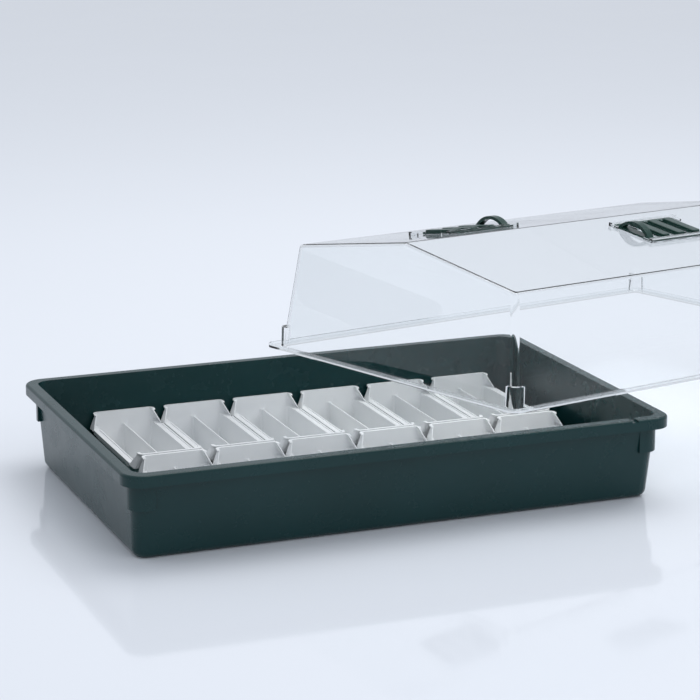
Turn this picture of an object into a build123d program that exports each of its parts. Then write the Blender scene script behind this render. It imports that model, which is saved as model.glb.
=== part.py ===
from build123d import *
import math
import os

# Humidity dome tray: a deep propagating tray, a clear gabled dome with two sliding vents,
# and two rows of white seed strips standing in the tray. Millimetres, +Z up, +X along the
# tray's length, origin at the middle of the tray's underside.

# Tray
TRAY_LENGTH = 600.0        # over the rim
TRAY_WIDTH = 400.0         # over the rim
TRAY_HEIGHT = 93.0
TRAY_WALL = 2.2
TRAY_FLOOR = 2.5
END_DRAFT = 5.0            # how far an end wall leans in between rim and floor
SIDE_DRAFT = 13.0          # the same for a long wall
TRAY_CORNER = 17.0         # outer radius of the upright corners, at the top
BASE_CORNER = 14.0         # the same at the floor
BASE_FILLET = 9.0          # roll between walls and floor
RIM_WIDTH = 12.5
RIM_SKIRT = 12.0           # how far the rim turns down
RIM_CORNER = 22.0
RIM_EDGE = 3.0             # rounding of the rim's outer edge
SHOULDER_DEPTH = 28.0      # stacking shoulder below the skirt at each corner
SHOULDER_REACH = 34.0      # its length along each wall, from the rim's outer edge
SHOULDER_PROUD = 3.5
FLOOR_RIB_HEIGHT = 2.5
FLOOR_RIB_WIDTH = 3.0
FLOOR_RIB_COUNT = 6
FLOOR_RIB_MARGIN = 28.0    # outer ribs from the foot of the walls
NOTCH_WIDTH = 7.0          # lead notch across the front rim
NOTCH_DEPTH = 2.0
NOTCH_FROM_END = 46.0

# Dome
DOME_GAP = 0.4             # flange above the rim when the dome is closed
DOME_OVERHANG = 2.0        # flange beyond the rim, each side
DOME_FLANGE = 12.0
FLANGE_CORNER = 9.0
DOME_FLANGE_THICK = 2.0
DOME_WALL = 2.0
DOME_EAVE = 118.5          # above the flange's underside
DOME_RISE = 27.0           # ridge above the eaves
DOME_END_DRAFT = 10.0      # lean of an end wall, flange to eave
DOME_SIDE_DRAFT = 15.5     # lean of a long wall, flange to eave
DOME_CORNER = 7.0          # rounding of the upright edges
DOME_CREASE = 5.0          # rounding of the eaves, ridge and hips
BEAD_HEIGHT = 4.5          # turned-up edge of the flange
BEAD_WIDTH = 2.0
LUG_HEIGHT = 24.0          # stacking lug at the foot of each upright edge
LUG_PROUD = 2.0
LUG_REACH = 12.0

# Where the dome stands: it is turned off the tray about an axis behind it
SWING_POINT = (-43.0, 1022.0, TRAY_HEIGHT)
SWING_AXIS = (-0.062, 0.11, 1.0)
SWING_ANGLE = 18.8

# Vents
VENT_SLOTS = 3
SLOT_WIDTH = 10.0
SLOT_OVERLAP = 2.5         # how far a bar covers each side of a slot when the vent is shut
VENT_BELOW_RIDGE = 61.0    # centre of the vent, down the slope
FRONT_VENT_X = 55.0
BACK_VENT_X = -127.0
SLIDE_WIDTH = 63.0
SLIDE_EDGE = 6.5           # plain edge beside the slots' ends
SLIDE_HEAD = 13.5          # plain stretch under the handle
SLIDE_TAIL = 14.5          # plain stretch past the last slot
SLIDE_THICK = 2.0
SLIDE_CORNER = 7.0
SLIDE_GAP = 0.4            # running gap round the slide
BAR_MARGIN = 1.5           # plain strip between a raised bar and the slot beside it
BAR_HEIGHT = 2.5
BAR_EDGE = 1.2
HANDLE_FROM_END = 7.0
HANDLE_INSET = 8.5         # handle's feet from the slide's long edges
HANDLE_HEIGHT = 11.0
HANDLE_THICK = 3.5
HANDLE_WIDTH = 9.0
RAIL_WALL = 2.0
RAIL_LIP = 3.0             # how far the rail's lip reaches over the slide
RAIL_LIP_THICK = 1.4
STOP_THICK = 2.0
STOP_WIDTH = 14.0

# Seed strips
STRIP_COLUMNS = 6
STRIP_COLUMN_GAP = 2.0
STRIP_ROW_GAP = 3.0        # between the two rows
STRIP_WALL_GAP = 1.4       # between a raised end and the tray's long wall
FREE_END = 55.0            # room left free at the tray's left end, at the strips' top
TIGHT_END = 25.0           # the same at the right end
STRIP_FOOT_GAP = 0.3       # running gap under a strip
STRIP_END_HEIGHT = 48.0
STRIP_RIM_HEIGHT = 33.0    # the sides' flat rim and the divider
STRIP_RIM = 8.0            # width of that rim
STRIP_RIM_DROP = 4.0       # its turned-down edge
STRIP_BEAD = 1.5           # raised beads along the rim
STRIP_WALL = 1.2
STRIP_LIP = 2.2            # lip round the raised ends
STRIP_LIP_THICK = 1.4
STRIP_NARROW = 7.0         # raised ends are this much narrower at the top, each side
STRIP_SIDE_TAPER = 3.0
STRIP_TOE = 0.8            # extra lean in, clear of the roll at the tray's foot
STRIP_CORNER = 4.0
STRIP_RETURN = 7.0         # how far the raised ends turn along the sides
STRIP_SHOULDER = 12.0      # slope from there down to the sides
DRAIN_HOLES = 4
DRAIN_DIAMETER = 6.0

RUN_OUT = 5.0              # how far cutting shapes run past what they cut


def slab(length, width, corner, low, high):
    """Upright block with rounded corners."""
    outline = Plane.XY.offset(low) * RectangleRounded(length, width, corner)
    return extrude(outline, high - low)


def tapered(length, width, corner, low, top_length, top_width, top_corner, high):
    """Block between two rounded rectangles."""
    foot = Plane.XY.offset(low) * RectangleRounded(length, width, corner)
    head = Plane.XY.offset(high) * RectangleRounded(top_length, top_width, top_corner)
    return loft([foot, head], ruled=True)


def block(x, y, z):
    """Box between pairs of limits."""
    size = [abs(b - a) for a, b in (x, y, z)]
    middle = [(a + b) / 2 for a, b in (x, y, z)]
    return Pos(*middle) * Box(*size)


def tray_hollow_size(height):
    """Length and width inside the walls at a height."""
    share = (TRAY_HEIGHT - height) / TRAY_HEIGHT
    length = TRAY_LENGTH - 2 * RIM_WIDTH - 2 * END_DRAFT * share
    width = TRAY_WIDTH - 2 * RIM_WIDTH - 2 * SIDE_DRAFT * share
    return length, width


def tray_body():
    """Walls and floor, leaning and rolled at the foot."""
    top_length, top_width = tray_hollow_size(TRAY_HEIGHT)
    foot_length, foot_width = tray_hollow_size(0)
    grow = 2 * TRAY_WALL
    outside = tapered(foot_length + grow, foot_width + grow, BASE_CORNER, 0,
                      top_length + grow, top_width + grow, TRAY_CORNER, TRAY_HEIGHT)
    outside = fillet(outside.edges().group_by(Axis.Z)[0], BASE_FILLET)
    floor_length, floor_width = tray_hollow_size(TRAY_FLOOR)
    over_length, over_width = tray_hollow_size(TRAY_HEIGHT + RUN_OUT)
    inside = tapered(floor_length, floor_width, BASE_CORNER - TRAY_WALL, TRAY_FLOOR,
                     over_length, over_width, TRAY_CORNER - TRAY_WALL, TRAY_HEIGHT + RUN_OUT)
    inside = fillet(inside.edges().group_by(Axis.Z)[0], BASE_FILLET - TRAY_WALL)
    return outside, inside


def tray_rim():
    """Flat rim with a turned-down skirt."""
    low = TRAY_HEIGHT - RIM_SKIRT
    rim = slab(TRAY_LENGTH, TRAY_WIDTH, RIM_CORNER, low, TRAY_HEIGHT)
    rim = fillet(rim.edges().group_by(Axis.Z)[-1], RIM_EDGE)
    under = slab(TRAY_LENGTH - 2 * TRAY_WALL, TRAY_WIDTH - 2 * TRAY_WALL,
                 RIM_CORNER - TRAY_WALL, low, TRAY_HEIGHT - TRAY_WALL)
    return rim - under


def tray_shoulders():
    """Stacking shoulders wrapped round the four corners under the rim."""
    low = TRAY_HEIGHT - RIM_SKIRT - SHOULDER_DEPTH
    length, width = tray_hollow_size(low)
    grow = 2 * (TRAY_WALL + SHOULDER_PROUD)
    band = slab(length + grow, width + grow, TRAY_CORNER, low, TRAY_HEIGHT - TRAY_WALL)
    corners = []
    for sx in (-1, 1):
        for sy in (-1, 1):
            x = (sx * (TRAY_LENGTH / 2 - SHOULDER_REACH), sx * TRAY_LENGTH / 2)
            y = (sy * (TRAY_WIDTH / 2 - SHOULDER_REACH), sy * TRAY_WIDTH / 2)
            corners.append(band & block(x, y, (low, TRAY_HEIGHT - TRAY_WALL)))
    return corners


def floor_ribs():
    """Low ribs along the floor that keep the strips off standing water."""
    floor_length, floor_width = tray_hollow_size(TRAY_FLOOR)
    length = floor_length - 2 * BASE_CORNER
    pitch = (floor_width - 2 * FLOOR_RIB_MARGIN) / (FLOOR_RIB_COUNT - 1)
    top = TRAY_FLOOR + FLOOR_RIB_HEIGHT
    ribs = []
    for index in range(FLOOR_RIB_COUNT):
        y = (index - (FLOOR_RIB_COUNT - 1) / 2) * pitch
        rib = slab(length, FLOOR_RIB_WIDTH, FLOOR_RIB_WIDTH / 2 - 0.1, TRAY_FLOOR / 2, top)
        ribs.append(Pos(0, y, 0) * rib)
    return ribs


def tray():
    outside, inside = tray_body()
    shape = outside + tray_rim()
    for shoulder in tray_shoulders():
        shape += shoulder
    shape -= inside
    for rib in floor_ribs():
        shape += rib
    notch_x = TRAY_LENGTH / 2 - NOTCH_FROM_END
    notch = block((notch_x - NOTCH_WIDTH / 2, notch_x + NOTCH_WIDTH / 2),
                  (-TRAY_WIDTH / 2 - RUN_OUT, -TRAY_WIDTH / 2 + RIM_WIDTH + RUN_OUT),
                  (TRAY_HEIGHT - NOTCH_DEPTH, TRAY_HEIGHT + RUN_OUT))
    shell = slab(TRAY_LENGTH - 2 * TRAY_WALL, TRAY_WIDTH - 2 * TRAY_WALL,
                 RIM_CORNER - TRAY_WALL, 0, TRAY_HEIGHT - NOTCH_DEPTH - TRAY_WALL / 4)
    return shape - (notch - shell)


# The dome's ridge, leans and half sizes where its walls meet the flange's underside
DOME_RIDGE = DOME_EAVE + DOME_RISE
DOME_HALF_LENGTH = TRAY_LENGTH / 2 + DOME_OVERHANG - DOME_FLANGE
DOME_HALF_WIDTH = TRAY_WIDTH / 2 + DOME_OVERHANG - DOME_FLANGE
WALL_LEAN = math.atan2(DOME_SIDE_DRAFT, DOME_EAVE)
END_LEAN = math.atan2(DOME_END_DRAFT, DOME_EAVE)
ROOF_SLOPE = math.atan2(DOME_RIDGE - DOME_EAVE, DOME_HALF_WIDTH - DOME_SIDE_DRAFT)


def gabled_form(inset, low, corner, crease):
    """The dome's envelope moved inwards by inset, from a low height up to the ridge."""
    half_width = DOME_HALF_WIDTH - inset / math.cos(WALL_LEAN)
    half_length = DOME_HALF_LENGTH - inset / math.cos(END_LEAN)
    ridge = DOME_RIDGE - inset / math.cos(ROOF_SLOPE)
    wall_rise = 1 / math.tan(WALL_LEAN)
    roof_fall = math.tan(ROOF_SLOPE)
    eave_y = (half_width * wall_rise - ridge) / (wall_rise - roof_fall)
    eave = (half_width - eave_y) * wall_rise
    low_y = half_width - low / wall_rise
    section = Polyline((-low_y, low), (-eave_y, eave), (0, ridge), (eave_y, eave), (low_y, low),
                       close=True)
    along = extrude(Plane.YZ * make_face(section), DOME_HALF_LENGTH + RUN_OUT, both=True)
    low_x = half_length - low * math.tan(END_LEAN)
    ridge_x = half_length - ridge * math.tan(END_LEAN)
    profile = Polyline((-low_x, low), (-ridge_x, ridge), (ridge_x, ridge), (low_x, low), close=True)
    across = extrude(Plane.XZ * make_face(profile), DOME_HALF_WIDTH + RUN_OUT, both=True)
    form = along & across
    posts = [e for e in form.edges()
             if e.bounding_box().size.Z > DOME_EAVE / 2 and e.bounding_box().min.Z < low + 1]
    form = fillet(posts, corner)
    creases = [e for e in form.edges() if e.bounding_box().min.Z > DOME_EAVE / 2]
    return fillet(creases, crease)


def dome_flange():
    """Flat flange with a turned-up bead along its edge."""
    length = TRAY_LENGTH + 2 * DOME_OVERHANG
    width = TRAY_WIDTH + 2 * DOME_OVERHANG
    plate = slab(length, width, FLANGE_CORNER, 0, BEAD_HEIGHT)
    well = slab(length - 2 * BEAD_WIDTH, width - 2 * BEAD_WIDTH, FLANGE_CORNER - BEAD_WIDTH,
                DOME_FLANGE_THICK, BEAD_HEIGHT)
    return plate - well


def dome_lugs():
    """Stacking lugs at the foot of the four upright edges."""
    band = slab(2 * (DOME_HALF_LENGTH + LUG_PROUD), 2 * (DOME_HALF_WIDTH + LUG_PROUD),
                DOME_CORNER + LUG_PROUD, 0, LUG_HEIGHT)
    lugs = []
    for sx in (-1, 1):
        for sy in (-1, 1):
            x = (sx * (DOME_HALF_LENGTH - LUG_REACH), sx * (DOME_HALF_LENGTH + LUG_PROUD))
            y = (sy * (DOME_HALF_WIDTH - LUG_REACH), sy * (DOME_HALF_WIDTH + LUG_PROUD))
            lugs.append(band & block(x, y, (0, LUG_HEIGHT)))
    return lugs


# A vent's slots, its slide and the slide's travel from open to shut
SLOT_PITCH = 2 * (SLOT_WIDTH + SLOT_OVERLAP)
VENT_TRAVEL = SLOT_PITCH / 2
SLOT_LENGTH = SLIDE_WIDTH - 2 * SLIDE_EDGE
SLIDE_LENGTH = SLIDE_HEAD + SLIDE_TAIL + SLOT_WIDTH + (VENT_SLOTS - 1) * SLOT_PITCH


def vent_places():
    """Location of each vent's middle on the roof, with local X along the ridge and Z outwards."""
    drop = VENT_BELOW_RIDGE * math.sin(ROOF_SLOPE)
    reach = VENT_BELOW_RIDGE * math.cos(ROOF_SLOPE)
    tilt = math.degrees(ROOF_SLOPE)
    front = Pos(FRONT_VENT_X, -reach, DOME_RIDGE - drop) * Rot(tilt, 0, 0)
    back = Pos(BACK_VENT_X, reach, DOME_RIDGE - drop) * Rot(0, 0, 180) * Rot(tilt, 0, 0)
    return {"front": front, "back": back}


def slot_centres():
    """Slot middles along the slide, from its handle end at local -X."""
    first = -SLIDE_LENGTH / 2 + SLIDE_HEAD + SLOT_WIDTH / 2
    return [first + index * SLOT_PITCH for index in range(VENT_SLOTS)]


def slot_cuts(depth):
    """Blocks that cut the vent's slots through a sheet at local Z = 0."""
    cuts = []
    for x in slot_centres():
        cuts.append(Pos(x, 0, 0) * slab(SLOT_WIDTH, SLOT_LENGTH, SLOT_WIDTH / 4, -depth, depth))
    return cuts


def vent_rails():
    """Rails and end stops moulded on the roof around a slide."""
    inner = SLIDE_WIDTH / 2 + SLIDE_GAP
    top = SLIDE_GAP + SLIDE_THICK + SLIDE_GAP + RAIL_LIP_THICK
    low = -DOME_WALL / 2
    start = -SLIDE_LENGTH / 2 - SLIDE_GAP
    end = SLIDE_LENGTH / 2 + VENT_TRAVEL + SLIDE_GAP
    pieces = []
    for side in (-1, 1):
        web = block((start - STOP_THICK, end + STOP_THICK),
                    (side * inner, side * (inner + RAIL_WALL)), (low, top))
        lip = block((start - STOP_THICK, end + STOP_THICK),
                    (side * (inner - RAIL_LIP), side * (inner + RAIL_WALL)),
                    (top - RAIL_LIP_THICK, top))
        pieces += [web, lip]
    stop_top = SLIDE_GAP + SLIDE_THICK
    stop_edge = inner + RAIL_WALL
    for x in ((start - STOP_THICK, start), (end, end + STOP_THICK)):
        for side in (-1, 1):
            pieces.append(block(x, (side * (stop_edge - STOP_WIDTH), side * stop_edge),
                                (low, stop_top)))
    return pieces


def dome():
    outer = gabled_form(0, 0, DOME_CORNER, DOME_CREASE)
    inner = gabled_form(DOME_WALL, -RUN_OUT, DOME_CORNER - DOME_WALL, DOME_CREASE - DOME_WALL)
    shape = outer + dome_flange()
    for lug in dome_lugs():
        shape += lug
    for place in vent_places().values():
        for piece in vent_rails():
            shape += place * piece
    shape -= inner
    for place in vent_places().values():
        for cut in slot_cuts(2 * DOME_WALL):
            shape -= place * cut
    return shape


def vent_slide():
    """Slotted slide with raised bars and an arched handle, standing at its vent's place."""
    low = SLIDE_GAP
    top = low + SLIDE_THICK
    plate = slab(SLIDE_LENGTH, SLIDE_WIDTH, SLIDE_CORNER, low, top)
    for cut in slot_cuts(2 * top):
        plate -= cut
    bar_width = SLOT_PITCH - SLOT_WIDTH - 2 * BAR_MARGIN
    for x in slot_centres():
        bar = slab(bar_width, SLOT_LENGTH, bar_width / 4, low, top + BAR_HEIGHT)
        bar = fillet(bar.edges().group_by(Axis.Z)[-1], BAR_EDGE)
        plate += Pos(x + SLOT_PITCH / 2, 0, 0) * bar
    return plate + handle(low, top)


def handle(low, top):
    """Arch across the slide near its end."""
    half = SLIDE_WIDTH / 2 - HANDLE_INSET
    radius = (half ** 2 + HANDLE_HEIGHT ** 2) / (2 * HANDLE_HEIGHT)
    centre = top + HANDLE_HEIGHT - radius
    ring = Circle(radius) - Circle(radius - HANDLE_THICK)
    arch = extrude(Plane.YZ * Pos(0, centre) * ring, HANDLE_WIDTH / 2, both=True)
    arch &= block((-HANDLE_WIDTH, HANDLE_WIDTH), (-radius, radius), (low, centre + radius))
    return Pos(-SLIDE_LENGTH / 2 + HANDLE_FROM_END, 0, 0) * arch


# A strip's foot, head and outer sizes, from the room inside the tray
STRIP_FOOT = TRAY_FLOOR + FLOOR_RIB_HEIGHT + STRIP_FOOT_GAP
ROOM_LENGTH, ROOM_WIDTH = tray_hollow_size(STRIP_FOOT + STRIP_END_HEIGHT)
STRIP_WIDTH = (ROOM_LENGTH - FREE_END - TIGHT_END
               - (STRIP_COLUMNS - 1) * STRIP_COLUMN_GAP) / STRIP_COLUMNS
STRIP_LENGTH = (ROOM_WIDTH - STRIP_ROW_GAP) / 2 - STRIP_WALL_GAP
STRIP_END_TAPER = SIDE_DRAFT * STRIP_END_HEIGHT / TRAY_HEIGHT - STRIP_LIP + STRIP_TOE


def strip_length_at(height):
    """Length of a strip's body, without its lips, at a height."""
    lean = STRIP_END_TAPER * (STRIP_END_HEIGHT - height) / STRIP_END_HEIGHT
    return STRIP_LENGTH - 2 * STRIP_LIP - 2 * lean


def strip_trough(side):
    """Hollow of one of a strip's two troughs, up to the rim."""
    head = (STRIP_WIDTH - 2 * STRIP_RIM - STRIP_WALL) / 2
    foot = head - STRIP_SIDE_TAPER
    high = STRIP_RIM_HEIGHT + RUN_OUT
    grow = STRIP_SIDE_TAPER * RUN_OUT / (STRIP_RIM_HEIGHT - STRIP_WALL)
    low_face = Plane.XY.offset(STRIP_WALL) * Pos(side * (foot + STRIP_WALL) / 2, 0) \
        * RectangleRounded(foot, strip_length_at(STRIP_WALL) - 2 * STRIP_WALL, STRIP_CORNER)
    high_face = Plane.XY.offset(high) * Pos(side * (head + grow + STRIP_WALL) / 2, 0) \
        * RectangleRounded(head + grow, strip_length_at(high) - 2 * STRIP_WALL, STRIP_CORNER)
    return loft([low_face, high_face], ruled=True)


def strip_ends():
    """Raised ends, narrower at the top, open along the middle."""
    low, high = STRIP_RIM_HEIGHT - STRIP_WALL, STRIP_END_HEIGHT
    top_width = STRIP_WIDTH - 2 * STRIP_NARROW
    shell = tapered(STRIP_WIDTH, strip_length_at(low), STRIP_CORNER, low,
                    top_width, strip_length_at(high), STRIP_CORNER, high)
    shell += slab(top_width + 2 * STRIP_LIP, STRIP_LENGTH, STRIP_CORNER + STRIP_LIP,
                  high - STRIP_LIP_THICK, high)
    wall = 2 * STRIP_WALL
    shell -= tapered(STRIP_WIDTH - wall, strip_length_at(low) - wall, STRIP_CORNER - STRIP_WALL,
                     STRIP_RIM_HEIGHT, top_width - wall, strip_length_at(high) - wall,
                     STRIP_CORNER - STRIP_WALL, high)
    return shell - side_opening()


def strip_rims():
    """Turned-down edge and two beads along each side's flat rim."""
    length = strip_length_at(STRIP_RIM_HEIGHT) - 2 * (STRIP_RETURN + STRIP_SHOULDER)
    outer = STRIP_WIDTH / 2
    pieces = []
    for side in (-1, 1):
        ends = (-length / 2, length / 2)
        pieces.append(block((side * (outer - STRIP_WALL), side * outer), ends,
                            (STRIP_RIM_HEIGHT - STRIP_RIM_DROP, STRIP_RIM_HEIGHT)))
        for inset in (0, STRIP_RIM - STRIP_BEAD):
            pieces.append(block((side * (outer - inset - STRIP_BEAD), side * (outer - inset)), ends,
                                (STRIP_RIM_HEIGHT - STRIP_WALL, STRIP_RIM_HEIGHT + STRIP_BEAD / 2)))
    return pieces


def side_opening():
    """What is open above a strip's sides, with a slope at each end."""
    head = STRIP_LENGTH / 2 - STRIP_LIP - STRIP_RETURN
    foot = head - STRIP_SHOULDER
    top = STRIP_END_HEIGHT + RUN_OUT
    outline = Polyline((-foot, STRIP_RIM_HEIGHT), (foot, STRIP_RIM_HEIGHT),
                       (head, STRIP_END_HEIGHT), (head, top), (-head, top),
                       (-head, STRIP_END_HEIGHT), close=True)
    return extrude(Plane.YZ * make_face(outline), STRIP_WIDTH, both=True)


def seed_strip():
    """Twin-trough strip with raised ends, standing on local Z = 0."""
    tub_top = STRIP_WIDTH - 2 * STRIP_RIM + 2 * STRIP_WALL
    tub_foot = tub_top - 2 * STRIP_SIDE_TAPER
    shape = tapered(tub_foot, strip_length_at(0), STRIP_CORNER, 0,
                    tub_top, strip_length_at(STRIP_RIM_HEIGHT), STRIP_CORNER, STRIP_RIM_HEIGHT)
    shape += strip_ends()
    for piece in strip_rims():
        shape += piece
    for side in (-1, 1):
        shape -= strip_trough(side)
        middle = side * (tub_foot / 2 - STRIP_WALL) / 2
        for index in range(DRAIN_HOLES):
            y = (index - (DRAIN_HOLES - 1) / 2) * strip_length_at(0) / DRAIN_HOLES
            shape -= Pos(middle, y, 0) * Cylinder(DRAIN_DIAMETER / 2, 4 * STRIP_WALL)
    return shape


def strip_places():
    """Name and middle of every strip, from the left in each row."""
    first = -ROOM_LENGTH / 2 + FREE_END + STRIP_WIDTH / 2
    places = {}
    for row, side in (("back", 1), ("front", -1)):
        y = side * (STRIP_ROW_GAP + STRIP_LENGTH) / 2
        for column in range(STRIP_COLUMNS):
            x = first + column * (STRIP_WIDTH + STRIP_COLUMN_GAP)
            places[f"seed_strip_{row}_{column + 1}"] = Pos(x, y, STRIP_FOOT)
    return places


def swung(shape):
    """Turn a piece of the closed dome to where the dome stands."""
    return shape.rotate(Axis(SWING_POINT, SWING_AXIS), SWING_ANGLE)


def nodes():
    """Every piece in its place."""
    closed = Pos(0, 0, TRAY_HEIGHT + DOME_GAP)
    pieces = {"tray": tray(), "dome": swung(closed * dome())}
    for name, place in vent_places().items():
        pieces[f"vent_slide_{name}"] = swung(closed * place * vent_slide())
    for name, place in strip_places().items():
        pieces[name] = place * seed_strip()
    return pieces


os.makedirs("parts", exist_ok=True)
for node, piece in nodes().items():
    export_step(piece, f"parts/{node}.step")
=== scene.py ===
import math

import bpy
from mathutils import Matrix, Vector

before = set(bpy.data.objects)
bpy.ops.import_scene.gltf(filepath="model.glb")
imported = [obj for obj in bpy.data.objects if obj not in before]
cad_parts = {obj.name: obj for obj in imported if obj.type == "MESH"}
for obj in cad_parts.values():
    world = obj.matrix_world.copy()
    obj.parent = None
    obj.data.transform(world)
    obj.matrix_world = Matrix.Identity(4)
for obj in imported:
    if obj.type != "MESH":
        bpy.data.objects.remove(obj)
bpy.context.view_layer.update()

# Camera, in metres: from the tray's front left, a little above
CAMERA_AZIMUTH = -21.7        # degrees
CAMERA_ELEVATION = 14.27      # degrees
CAMERA_DISTANCE = 2.758
CAMERA_SIDE = 0.0114          # offset along the picture's right
CAMERA_RISE = 0.138           # and along its up
LENS = 130.4                  # millimetres
SENSOR = 36.0                 # millimetres
LENS_SHIFT = 0.005
CLIP_END = 60.0

# Moulded plastic: dark and light colour, lowest and highest roughness
GREEN = ((0.003, 0.028, 0.029), (0.005, 0.034, 0.036), 0.22, 0.30)
VENT_GREEN = ((0.010, 0.040, 0.032), (0.014, 0.050, 0.040), 0.22, 0.32)
WHITE = ((0.76, 0.78, 0.79), (0.84, 0.85, 0.85), 0.28, 0.42)
PLASTIC_IOR = 1.49
PLASTIC_SPECULAR = 0.30
DRIFT_SCALE = 9.0             # slow change of colour
GLOSS_SCALE = 34.0            # uneven gloss
GRAIN_SCALE = 2600.0          # fine grain of the mould
GRAIN_STRENGTH = 0.12
GRAIN_DEPTH = 0.00006

# Clear sheet
SHEET_LOW = (0.935, 0.948, 0.950)
SHEET_HIGH = (0.955, 0.965, 0.968)
SHEET_ROUGH = 0.02
SHEET_IOR = 1.33
TINT_SCALE = 3.0
HAZE_SCALE = 26.0
WAVE_SCALE = 7.0
WAVE_STRENGTH = 0.10
WAVE_DEPTH = 0.0010
LAMP_TINT = (0.93, 0.95, 0.96)

# Studio
FLOOR_SIZE = 24.0
FLOOR_COLOUR = (0.83, 0.86, 0.91)
FLOOR_ROUGH = (0.05, 0.10)
FLOOR_SCALE = 3.0
FLOOR_IOR = 1.45
WORLD_COLOUR = (0.86, 0.90, 0.97)
WORLD_STRENGTH = 0.80
MAX_BOUNCES = 32              # the clear walls bend a ray many times
MAX_CLEAR_BOUNCES = 48


def nodes_of(material):
    """A material's cleared node tree with its output and Principled shader."""
    material.use_nodes = True
    tree = material.node_tree
    tree.nodes.clear()
    output = tree.nodes.new("ShaderNodeOutputMaterial")
    shader = tree.nodes.new("ShaderNodeBsdfPrincipled")
    tree.links.new(shader.outputs["BSDF"], output.inputs["Surface"])
    return tree, output, shader


def noise(tree, scale, detail, roughness=0.5):
    """Noise over the object's own coordinates."""
    place = tree.nodes.new("ShaderNodeTexCoord")
    texture = tree.nodes.new("ShaderNodeTexNoise")
    texture.inputs["Scale"].default_value = scale
    texture.inputs["Detail"].default_value = detail
    texture.inputs["Roughness"].default_value = roughness
    tree.links.new(place.outputs["Object"], texture.inputs["Vector"])
    return texture.outputs["Fac"]


def ramp(tree, factor, low, high, start=0.3, end=0.7):
    """Ramp between two colours or two grey values."""
    node = tree.nodes.new("ShaderNodeValToRGB")
    first, last = node.color_ramp.elements
    for element, position, value in ((first, start, low), (last, end, high)):
        element.position = position
        element.color = (*value, 1) if isinstance(value, tuple) else (value, value, value, 1)
    tree.links.new(factor, node.inputs["Fac"])
    return node.outputs["Color"]


def bump(tree, shader, height, strength, depth):
    """Surface relief from a height socket, depth in metres."""
    node = tree.nodes.new("ShaderNodeBump")
    node.inputs["Strength"].default_value = strength
    node.inputs["Distance"].default_value = depth
    tree.links.new(height, node.inputs["Height"])
    tree.links.new(node.outputs["Normal"], shader.inputs["Normal"])


def moulded_plastic(name, dark, light, rough_low, rough_high):
    """Moulded plastic: faint colour drift, uneven gloss and fine grain."""
    material = bpy.data.materials.new(name)
    tree, _, shader = nodes_of(material)
    drift = noise(tree, DRIFT_SCALE, detail=4.0)
    tree.links.new(ramp(tree, drift, dark, light), shader.inputs["Base Color"])
    gloss = noise(tree, GLOSS_SCALE, detail=5.0, roughness=0.6)
    tree.links.new(ramp(tree, gloss, rough_low, rough_high), shader.inputs["Roughness"])
    bump(tree, shader, noise(tree, GRAIN_SCALE, detail=2.0), GRAIN_STRENGTH, GRAIN_DEPTH)
    shader.inputs["IOR"].default_value = PLASTIC_IOR
    shader.inputs["Specular IOR Level"].default_value = PLASTIC_SPECULAR
    return material


def clear_plastic(name):
    """Clear moulded plastic: glass that lets lamp light through."""
    material = bpy.data.materials.new(name)
    tree, output, shader = nodes_of(material)
    tint = ramp(tree, noise(tree, TINT_SCALE, detail=2.0), SHEET_LOW, SHEET_HIGH)
    tree.links.new(tint, shader.inputs["Base Color"])
    haze = noise(tree, HAZE_SCALE, detail=5.0, roughness=0.6)
    tree.links.new(ramp(tree, haze, 0.0, SHEET_ROUGH), shader.inputs["Roughness"])
    shader.inputs["Transmission Weight"].default_value = 1.0
    shader.inputs["IOR"].default_value = SHEET_IOR
    bump(tree, shader, noise(tree, WAVE_SCALE, detail=1.0), WAVE_STRENGTH, WAVE_DEPTH)
    clear = tree.nodes.new("ShaderNodeBsdfTransparent")
    clear.inputs["Color"].default_value = (*LAMP_TINT, 1)
    path = tree.nodes.new("ShaderNodeLightPath")
    mix = tree.nodes.new("ShaderNodeMixShader")
    tree.links.new(path.outputs["Is Shadow Ray"], mix.inputs["Fac"])
    tree.links.new(shader.outputs["BSDF"], mix.inputs[1])
    tree.links.new(clear.outputs["BSDF"], mix.inputs[2])
    tree.links.new(mix.outputs["Shader"], output.inputs["Surface"])
    return material


def floor_surface(name):
    """Glossy pale sheet under the tray."""
    material = bpy.data.materials.new(name)
    tree, _, shader = nodes_of(material)
    shader.inputs["Base Color"].default_value = (*FLOOR_COLOUR, 1)
    sheen = ramp(tree, noise(tree, FLOOR_SCALE, detail=3.0), *FLOOR_ROUGH)
    tree.links.new(sheen, shader.inputs["Roughness"])
    shader.inputs["IOR"].default_value = FLOOR_IOR
    return material


def camera():
    azimuth, elevation = math.radians(CAMERA_AZIMUTH), math.radians(CAMERA_ELEVATION)
    back = Vector((math.sin(azimuth) * math.cos(elevation),
                   -math.cos(azimuth) * math.cos(elevation), math.sin(elevation)))
    right = (-back).cross(Vector((0, 0, 1))).normalized()
    up = back.cross(right)
    data = bpy.data.cameras.new("camera")
    data.lens = LENS
    data.sensor_width = SENSOR
    data.shift_y = LENS_SHIFT
    data.clip_end = CLIP_END
    item = bpy.data.objects.new("camera", data)
    bpy.context.scene.collection.objects.link(item)
    turn = Matrix((right, up, back)).transposed().to_4x4()
    item.matrix_world = Matrix.Translation(
        back * CAMERA_DISTANCE + right * CAMERA_SIDE + up * CAMERA_RISE) @ turn
    bpy.context.scene.camera = item


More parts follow.
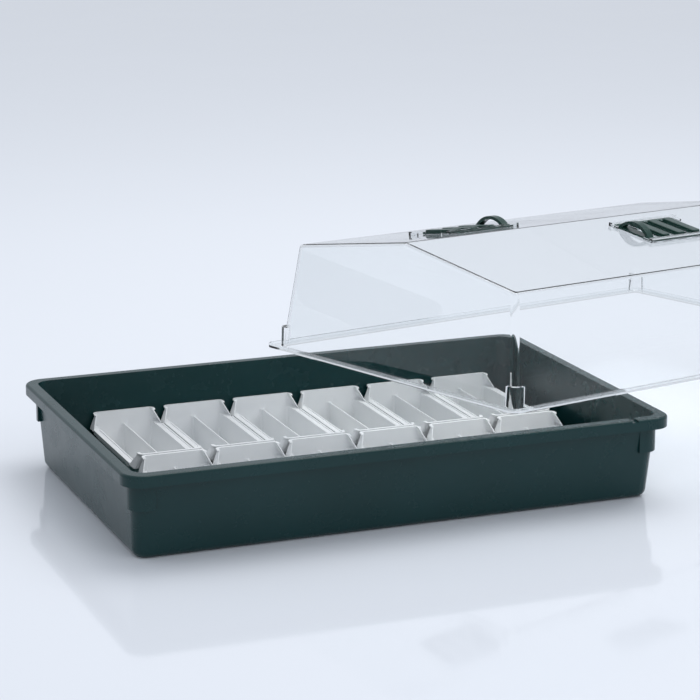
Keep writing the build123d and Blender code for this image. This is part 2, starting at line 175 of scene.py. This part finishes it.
def floor():
    half = FLOOR_SIZE / 2
    mesh = bpy.data.meshes.new("floor")
    corners = [(-half, -half, 0), (half, -half, 0), (half, half, 0), (-half, half, 0)]
    mesh.from_pydata(corners, [], [(0, 1, 2, 3)])
    item = bpy.data.objects.new("floor", mesh)
    bpy.context.scene.collection.objects.link(item)
    mesh.materials.append(floor_surface("floor_sheet"))


def softbox(name, place, target, size, power, mirrored=True):
    data = bpy.data.lights.new(name, "AREA")
    data.shape = "RECTANGLE"
    data.size, data.size_y = size
    data.energy = power
    item = bpy.data.objects.new(name, data)
    bpy.context.scene.collection.objects.link(item)
    item.location = place
    direction = Vector(target) - Vector(place)
    item.rotation_euler = direction.to_track_quat("-Z", "Y").to_euler()
    item.visible_glossy = mirrored


def studio():
    world = bpy.data.worlds.new("studio")
    bpy.context.scene.world = world
    world.use_nodes = True
    background = world.node_tree.nodes["Background"]
    background.inputs["Color"].default_value = (*WORLD_COLOUR, 1)
    background.inputs["Strength"].default_value = WORLD_STRENGTH
    softbox("overhead", place=(0.8, 0.5, 2.3), target=(0.4, 0.1, 0), size=(2.2, 1.8), power=26.0)
    softbox("front_fill", place=(0.9, -2.6, 1.4), target=(0, 0, 0.1), size=(2.0, 1.2), power=9.0,
            mirrored=False)
    bpy.context.scene.view_settings.view_transform = "Standard"
    light_paths = bpy.context.scene.cycles
    light_paths.max_bounces = MAX_BOUNCES
    light_paths.transmission_bounces = MAX_BOUNCES
    light_paths.transparent_max_bounces = MAX_CLEAR_BOUNCES


def paint(node, material):
    """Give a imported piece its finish."""
    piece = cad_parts[node]
    piece.data.materials.clear()
    piece.data.materials.append(material)


def dress():
    vent = moulded_plastic("vent_plastic", *VENT_GREEN)
    white = moulded_plastic("white_sheet", *WHITE)
    paint("tray", moulded_plastic("green_plastic", *GREEN))
    paint("dome", clear_plastic("clear_plastic"))
    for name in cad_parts:
        if name.startswith("vent_slide"):
            paint(name, vent)
        elif name.startswith("seed_strip"):
            paint(name, white)


camera()
floor()
studio()
dress()
